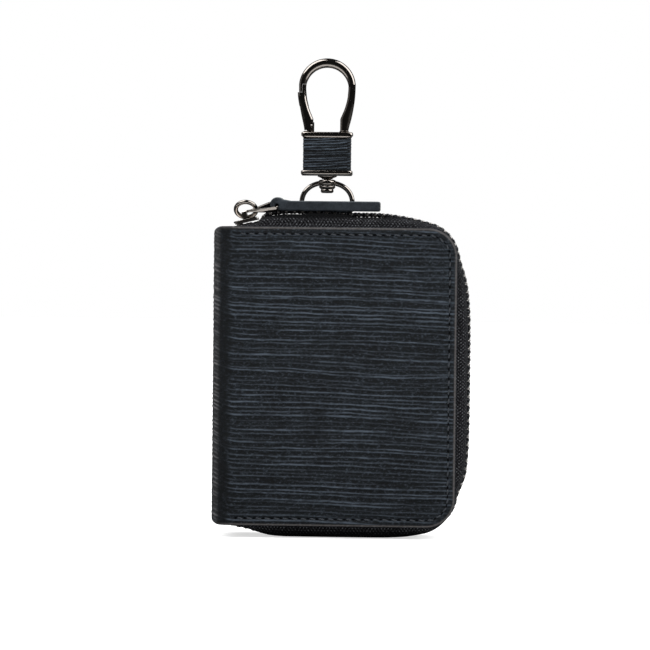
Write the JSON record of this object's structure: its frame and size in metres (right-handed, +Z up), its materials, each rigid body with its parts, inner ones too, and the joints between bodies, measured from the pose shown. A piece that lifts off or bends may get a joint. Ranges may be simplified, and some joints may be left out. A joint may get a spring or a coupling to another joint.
{
  "type": "key holder",
  "caption": "Zip-around key case of ridged dark leather with a leather zip pull and, on a D-ring, a swivel snap hook; key hooks and card pockets inside.",
  "frame": {"origin": "middle of the footprint, on the surface the case stands on", "axes": "+X to the zip side, the spine is at -X; the front cover faces -Y; +Z up to the snap hook"},
  "size_m": [0.0846, 0.026, 0.1578],
  "materials": {
    "ridged_leather": "dark blue-grey leather embossed with fine wavy ridges, slight sheen",
    "smooth_leather": "dark smooth leather, fine grain",
    "lining_cloth": "dark twill lining bonded to a backing",
    "board": "hidden stiffening board",
    "woven_tape": "dark herringbone woven zip tape",
    "zip_teeth": "dark plated metal teeth",
    "gun_metal": "polished dark plating",
    "spring_steel": "bare spring steel"
  },
  "bodies": {
    "back_half": {"back_cover": "ridged_leather", "back_board": "board", "back_lining": "lining_cloth", "back_zip_tape": "woven_tape", "back_zip_chain": "zip_teeth", "hanger_tab": "smooth_leather", "key_rail": "gun_metal", "rail_rivet_left": "gun_metal", "rail_rivet_right": "gun_metal"},
    "spine": {"spine_cover": "ridged_leather", "spine_board": "board", "spine_lining": "lining_cloth"},
    "front_half": {"front_cover": "ridged_leather", "front_board": "board", "front_lining": "lining_cloth", "front_zip_tape": "woven_tape", "front_zip_chain": "zip_teeth", "card_pocket_upper": "smooth_leather", "card_pocket_lower": "smooth_leather"},
    "slider": {"slider_body": "gun_metal"},
    "ring": {"pull_ring": "gun_metal"},
    "clip": {"pull_clip": "gun_metal"},
    "strap": {"pull_strap": "smooth_leather"},
    "d_ring": {"d_ring": "gun_metal"},
    "hook": {"hook_frame": "gun_metal", "leather_wrap": "ridged_leather", "swivel_post": "gun_metal", "swivel_washer": "gun_metal", "gate_pin": "gun_metal", "gate_spring": "spring_steel"},
    "gate": {"hook_gate": "gun_metal"},
    "key_hook_1": {"key_hook_1": "gun_metal"},
    "key_hook_2": {"key_hook_2": "gun_metal"},
    "key_hook_3": {"key_hook_3": "gun_metal"},
    "key_hook_4": {"key_hook_4": "gun_metal"},
    "key_hook_5": {"key_hook_5": "gun_metal"},
    "key_hook_6": {"key_hook_6": "gun_metal"}
  },
  "joints": [
    {"name": "spine_fold", "type": "hinge", "parent": "back_half", "child": "spine", "pos_m": [-0.0358, 0.013, 0.004], "axis": [0, 0, -1], "range_deg": [0, 90]},
    {"name": "front_fold", "type": "hinge", "parent": "spine", "child": "front_half", "pos_m": [-0.0358, -0.013, 0.004], "axis": [0, 0, -1], "range_deg": [0, 90]},
    {"name": "zip_slide", "type": "slide", "parent": "back_half", "child": "slider", "axis": [0.989, 0, 0.1479], "range_m": [0, 0.0239], "deforming": ["back_zip_chain", "front_zip_chain", "back_zip_tape", "front_zip_tape"]},
    {"name": "ring_turn", "type": "hinge", "parent": "slider", "child": "ring", "pos_m": [-0.03214, -0.00224, 0.10749], "axis": [0, -0.7431, -0.6691], "range_deg": [0, 90]},
    {"name": "clip_swing", "type": "hinge", "parent": "ring", "child": "clip", "pos_m": [-0.02879, -0.00224, 0.10749], "axis": [0, 0, -1], "range_deg": [-4, 20]},
    {"name": "strap_lift", "type": "hinge", "parent": "clip", "child": "strap", "pos_m": [-0.0219, 0, 0.1089], "axis": [0, -1, 0], "range_deg": [0, 90]},
    {"name": "d_ring_tilt", "type": "hinge", "parent": "back_half", "child": "d_ring", "pos_m": [-0.006, 0.00955, 0.1075], "axis": [1, 0, 0], "range_deg": [-115, 15]},
    {"name": "hook_swivel", "type": "hinge", "parent": "d_ring", "child": "hook", "pos_m": [-0.006, 0.00955, 0.119], "axis": [0, 0, 1], "continuous": true},
    {"name": "gate_open", "type": "hinge", "parent": "hook", "child": "gate", "pos_m": [-0.0114, 0.00955, 0.1357], "axis": [0, 1, 0], "range_deg": [0, 25], "stiffness_Nm_per_rad": 0.03, "springref_deg": -17.19, "deforming": ["gate_spring"]},
    {"name": "key_hook_1_swing", "type": "hinge", "parent": "back_half", "child": "key_hook_1", "pos_m": [-0.0145, 0.0063, 0.0777], "axis": [1, 0, 0], "range_deg": [-20, 0]},
    {"name": "key_hook_2_swing", "type": "hinge", "parent": "back_half", "child": "key_hook_2", "pos_m": [-0.0079, 0.0063, 0.0777], "axis": [1, 0, 0], "range_deg": [-20, 0]},
    {"name": "key_hook_3_swing", "type": "hinge", "parent": "back_half", "child": "key_hook_3", "pos_m": [-0.0013, 0.0063, 0.0777], "axis": [1, 0, 0], "range_deg": [-20, 0]},
    {"name": "key_hook_4_swing", "type": "hinge", "parent": "back_half", "child": "key_hook_4", "pos_m": [0.0053, 0.0063, 0.0777], "axis": [1, 0, 0], "range_deg": [-20, 0]},
    {"name": "key_hook_5_swing", "type": "hinge", "parent": "back_half", "child": "key_hook_5", "pos_m": [0.0119, 0.0063, 0.0777], "axis": [1, 0, 0], "range_deg": [-20, 0]},
    {"name": "key_hook_6_swing", "type": "hinge", "parent": "back_half", "child": "key_hook_6", "pos_m": [0.0185, 0.0063, 0.0777], "axis": [1, 0, 0], "range_deg": [-20, 0]}
  ],
  "couplings": [
    {"joint": "front_fold", "follows": "spine_fold", "ratio": 1}
  ]
}
